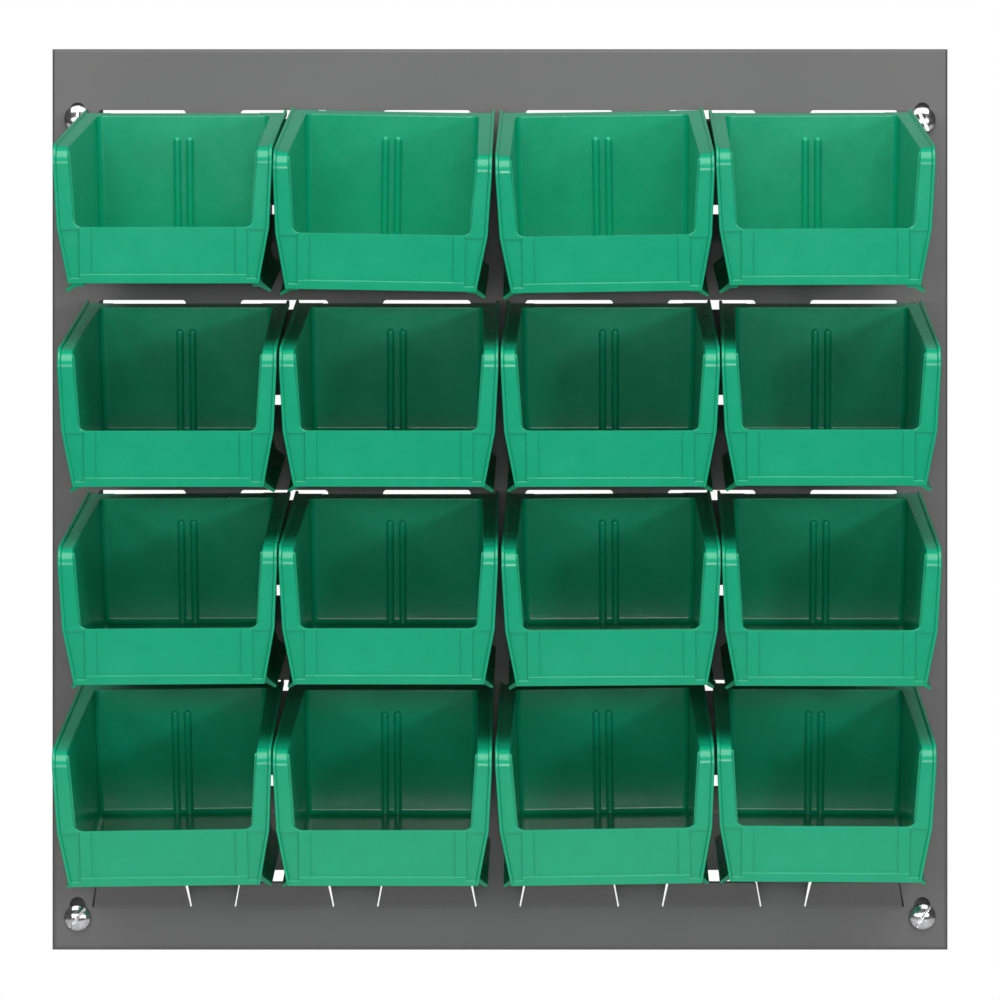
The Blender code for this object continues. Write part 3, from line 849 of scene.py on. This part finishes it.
class Nodes:
    """Short calls for building one material's node tree."""

    def __init__(self, name):
        self.material = bpy.data.materials.new(name)
        self.material.use_nodes = True
        self.tree = self.material.node_tree
        self.shader = self.tree.nodes["Principled BSDF"]

    def node(self, kind, **settings):
        made = self.tree.nodes.new(kind)
        for key, value in settings.items():
            setattr(made, key, value)
        return made

    def link(self, output, target):
        self.tree.links.new(output, target)

    def coordinates(self, stretch):
        source = self.node("ShaderNodeTexCoord")
        mapping = self.node("ShaderNodeMapping")
        mapping.inputs["Scale"].default_value = stretch
        self.link(source.outputs["Object"], mapping.inputs["Vector"])
        return mapping.outputs["Vector"]

    def noise(self, scale, detail, roughness, stretch=(1, 1, 1)):
        made = self.node("ShaderNodeTexNoise")
        made.inputs["Scale"].default_value = scale
        made.inputs["Detail"].default_value = detail
        made.inputs["Roughness"].default_value = roughness
        self.link(self.coordinates(stretch), made.inputs["Vector"])
        return made.outputs["Fac"]

    def span(self, value, low, high, from_low=0.3, from_high=0.7):
        """Maps a pattern's usual range to low..high."""
        made = self.node("ShaderNodeMapRange")
        made.inputs["From Min"].default_value = from_low
        made.inputs["From Max"].default_value = from_high
        made.inputs["To Min"].default_value = low
        made.inputs["To Max"].default_value = high
        self.link(value, made.inputs["Value"])
        return made.outputs["Result"]

    def math(self, operation, first, second):
        made = self.node("ShaderNodeMath", operation=operation)
        for socket, value in zip(made.inputs, (first, second)):
            if isinstance(value, (int, float)):
                socket.default_value = value
            else:
                self.link(value, socket)
        return made.outputs["Value"]

    def mix(self, factor, first, second):
        made = self.node("ShaderNodeMix", data_type="RGBA")
        self.link(factor, made.inputs["Factor"])
        for name, value in (("A", first), ("B", second)):
            socket = next(s for s in made.inputs if s.name == name and s.type == "RGBA")
            if isinstance(value, tuple):
                socket.default_value = (*value, 1.0)
            else:
                self.link(value, socket)
        return next(s for s in made.outputs if s.type == "RGBA")

    def bump(self, height, strength, distance, normal=None):
        made = self.node("ShaderNodeBump")
        made.inputs["Strength"].default_value = strength
        made.inputs["Distance"].default_value = distance
        self.link(height, made.inputs["Height"])
        if normal:
            self.link(normal, made.inputs["Normal"])
        return made.outputs["Normal"]

    def soft_edge(self, radius):
        """Normal rounded over a radius at every edge."""
        made = self.node("ShaderNodeBevel", samples=4)
        made.inputs["Radius"].default_value = radius
        return made.outputs["Normal"]

    def edge_mask(self, radius, low, high):
        """Near 1 at edges and corners of the mesh, 0 on flat parts."""
        geometry = self.node("ShaderNodeNewGeometry")
        dot = self.node("ShaderNodeVectorMath", operation="DOT_PRODUCT")
        self.link(self.soft_edge(radius), dot.inputs[0])
        self.link(geometry.outputs["True Normal"], dot.inputs[1])
        turned = self.math("SUBTRACT", 1.0, dot.outputs["Value"])
        return self.span(turned, 0.0, 1.0, low, high)

    def finish(self, colour, roughness, normal, **sockets):
        self.link(colour, self.shader.inputs["Base Color"])
        self.link(roughness, self.shader.inputs["Roughness"])
        self.link(normal, self.shader.inputs["Normal"])
        for key, value in sockets.items():
            self.shader.inputs[key.replace("_", " ")].default_value = value
        return self.material


def bin_plastic():
    """Glossy moulded polypropylene: cloudy colour, edges painted paler as a painted highlight, soft sink
    marks.
    """
    n = Nodes("bin_plastic")
    cloud = n.noise(26, 4, 0.55)
    flow = n.noise(60, 3, 0.6, (1.0, 0.12, 1.0))
    deep = (0.0030, 0.330, 0.165)
    light = (0.0050, 0.375, 0.200)
    painted_edge_highlight = (0.09, 0.60, 0.38)
    clouded = n.math("MULTIPLY", n.math("ADD", cloud, flow), 0.5)
    base = n.mix(n.span(clouded, 0.0, 1.0), deep, light)
    # Painted highlight: every edge is mixed up to 30% towards a paler green, standing in for the light
    # lines that glossy edges catch.
    edges = n.math("MULTIPLY", n.edge_mask(0.0005, 0.02, 0.35), 0.30)
    colour = n.mix(edges, base, painted_edge_highlight)
    scuffs = n.noise(240, 5, 0.7, (1.0, 0.05, 1.0))
    roughness = n.math("ADD", n.span(cloud, 0.19, 0.25), n.span(scuffs, -0.02, 0.03))
    waves = n.bump(n.noise(30, 2, 0.4), 0.10, 0.0003)
    return n.finish(colour, roughness, waves, IOR=1.46)


def panel_steel():
    """Dark grey powder coat on steel: fine orange peel, faint speckle, edges painted paler as a painted
    highlight.
    """
    n = Nodes("panel_steel")
    speckle = n.noise(2600, 2, 0.6)
    patches = n.noise(9, 4, 0.6)
    dark = (0.101, 0.096, 0.098)
    pale = (0.153, 0.147, 0.149)
    dulled = (0.118, 0.113, 0.115)
    painted_edge_highlight = (0.24, 0.24, 0.24)
    base = n.mix(n.span(speckle, 0.0, 1.0), dark, pale)
    worn = n.mix(n.span(patches, 0.0, 0.35), base, dulled)
    # Painted highlight: every edge is mixed up to 40% towards a paler grey, standing in for the light that
    # the sheet's edges catch.
    edges = n.math("MULTIPLY", n.edge_mask(0.0005, 0.03, 0.4), 0.4)
    colour = n.mix(edges, worn, painted_edge_highlight)
    roughness = n.math("ADD", n.span(patches, 0.42, 0.52), n.span(speckle, -0.04, 0.04))
    peel = n.bump(n.noise(650, 3, 0.55), 0.30, 0.00012, n.soft_edge(0.0003))
    grain = n.bump(speckle, 0.25, 0.00004, peel)
    return n.finish(colour, roughness, grain, IOR=1.5)


def screw_metal():
    """Bright zinc-plated steel with turning marks and small scratches."""
    n = Nodes("screw_metal")
    marks = n.noise(900, 4, 0.7, (1.0, 0.1, 1.0))
    blotch = n.noise(420, 3, 0.5)
    dull = (0.50, 0.50, 0.51)
    bright = (0.72, 0.72, 0.73)
    colour = n.mix(n.span(blotch, 0.0, 1.0), dull, bright)
    roughness = n.math("ADD", n.span(blotch, 0.08, 0.20), n.span(marks, -0.02, 0.08))
    normal = n.bump(marks, 0.12, 0.00004, n.soft_edge(0.00012))
    return n.finish(colour, roughness, normal, Metallic=1.0)


def floor_paint():
    """Plain pale floor with faint clouds."""
    n = Nodes("floor_paint")
    cloud = n.noise(1.6, 4, 0.5)
    colour = n.mix(n.span(cloud, 0.0, 1.0), (0.78, 0.78, 0.78), (0.83, 0.83, 0.83))
    roughness = n.span(cloud, 0.55, 0.70)
    normal = n.bump(n.noise(120, 3, 0.5), 0.05, 0.0005)
    return n.finish(colour, roughness, normal)


# ---- building and placing the pieces ----


def stand_for(obj, node, body):
    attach(obj, body)
    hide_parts(node)


def check_place(obj, node):
    """Stops the script if a piece isn't where its CAD node is."""
    bpy.context.view_layer.update()
    low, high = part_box(node)
    points = [obj.matrix_world @ vertex.co for vertex in obj.data.vertices]
    for axis in range(3):
        lowest = min(point[axis] for point in points)
        highest = max(point[axis] for point in points)
        if max(abs(lowest - low[axis]), abs(highest - high[axis])) > PLACE_TOLERANCE:
            spans = f"{lowest} to {highest}, not {low[axis]} to {high[axis]}"
            raise ValueError(f"{obj.name} is not where {node} is: {spans}")


def build_object():
    steel = panel_steel()
    plastic = bin_plastic()
    zinc = screw_metal()

    mesh = panel_mesh()
    mesh.materials.append(steel)
    panel = add_object("panel_sheet", mesh)
    check_place(panel, "louvred_panel")
    stand_for(panel, "louvred_panel", "wall_panel")

    for name, side, height, direction in SCREWS:
        mesh = screw_mesh(direction)
        mesh.materials.append(zinc)
        screw = add_object(name.replace("mounting_", ""), mesh)
        screw.location = (side * SLOT_X, 0, PANEL_LOW.z + height)
        check_place(screw, name)
        stand_for(screw, name, "wall_panel")

    shared = bin_mesh()
    shared.materials.append(plastic)
    for row, louvre_row in enumerate(BIN_ROWS):
        for column, settled in enumerate(SETTLED[row]):
            node = f"bin_row{row + 1}_col{column + 1}"
            tray = add_object(f"hanging_{node}", shared)
            tray.matrix_world = bin_place(louvre_row, settled)
            check_place(tray, node)
            stand_for(tray, node, node)


# ---- camera, light and floor ----

CAMERA_DISTANCE = 3.8
CAMERA_DROP = 0.0003
CAMERA_REACH = 50
SENSOR_WIDTH = 36
VIEW_WIDTH = 0.5105
FLOOR_Z = PANEL_LOW.z - 0.30
FLOOR_HALF = 2.0
FLOOR_FRONT = -1.35
WHITE = (1, 1, 1, 1)
ROOM_STRENGTH = 0.08
BACKDROP_STRENGTH = 1.0

# Area lights, all aimed at one point: (name, place, size, power in watts). The overhead one
# lights the front plates, the side and fill ones reach into the bins, and front is a small glint.
LIGHT_TARGET = (0, -0.10, 0.22)
LIGHTS = (
    ("overhead", (0.0, -1.30, 2.20), (3.00, 2.00), 72),
    ("side_right", (1.22, -2.75, 0.32), (0.20, 0.20), 10),
    ("side_left", (-1.22, -2.75, 0.30), (0.30, 0.30), 5),
    ("fill", (0.0, -3.00, 0.28), (2.20, 0.50), 16),
    ("front", (0.0, -3.60, 0.245), (0.10, 0.05), 6),
)


def add_camera():
    data = bpy.data.cameras.new("camera")
    data.sensor_width = SENSOR_WIDTH
    data.lens = data.sensor_width * CAMERA_DISTANCE / VIEW_WIDTH
    data.clip_end = CAMERA_REACH
    camera = bpy.data.objects.new("camera", data)
    bpy.context.scene.collection.objects.link(camera)
    middle = (PANEL_LOW.z + PANEL_HIGH.z) / 2
    camera.location = (0, FACE_OUTER_Y - CAMERA_DISTANCE, middle - CAMERA_DROP)
    camera.rotation_euler = (math.radians(90), 0, 0)
    bpy.context.scene.camera = camera


def add_area_light(name, place, size, power):
    data = bpy.data.lights.new(name, "AREA")
    data.shape = "RECTANGLE"
    data.size, data.size_y = size
    data.energy = power
    light = bpy.data.objects.new(name, data)
    bpy.context.scene.collection.objects.link(light)
    light.location = place
    light.rotation_euler = (Vector(LIGHT_TARGET) - Vector(place)).to_track_quat("-Z", "Y").to_euler()


def add_floor():
    bm = bmesh.new()
    corners = [(-FLOOR_HALF, FLOOR_FRONT), (FLOOR_HALF, FLOOR_FRONT)]
    corners += [(FLOOR_HALF, FLOOR_HALF), (-FLOOR_HALF, FLOOR_HALF)]
    bm.faces.new([bm.verts.new((x, y, FLOOR_Z)) for x, y in corners])
    floor = add_object("floor", mesh_from(bm, "floor"))
    floor.data.materials.append(floor_paint())


def add_world():
    """Even white behind the object, and a much dimmer room for its light and reflections."""
    world = bpy.data.worlds.new("studio")
    bpy.context.scene.world = world
    world.use_nodes = True
    tree = world.node_tree
    room = tree.nodes["Background"]
    room.inputs["Color"].default_value = WHITE
    room.inputs["Strength"].default_value = ROOM_STRENGTH
    white = tree.nodes.new("ShaderNodeBackground")
    white.inputs["Color"].default_value = WHITE
    white.inputs["Strength"].default_value = BACKDROP_STRENGTH
    path = tree.nodes.new("ShaderNodeLightPath")
    mix = tree.nodes.new("ShaderNodeMixShader")
    tree.links.new(path.outputs["Is Camera Ray"], mix.inputs["Fac"])
    tree.links.new(room.outputs["Background"], mix.inputs[1])
    tree.links.new(white.outputs["Background"], mix.inputs[2])
    tree.links.new(mix.outputs["Shader"], tree.nodes["World Output"].inputs["Surface"])


def add_lights():
    for name, place, size, power in LIGHTS:
        add_area_light(name, place, size, power)


bpy.context.scene.view_settings.view_transform = "Standard"
add_camera()
add_world()
add_lights()
add_floor()
build_object()
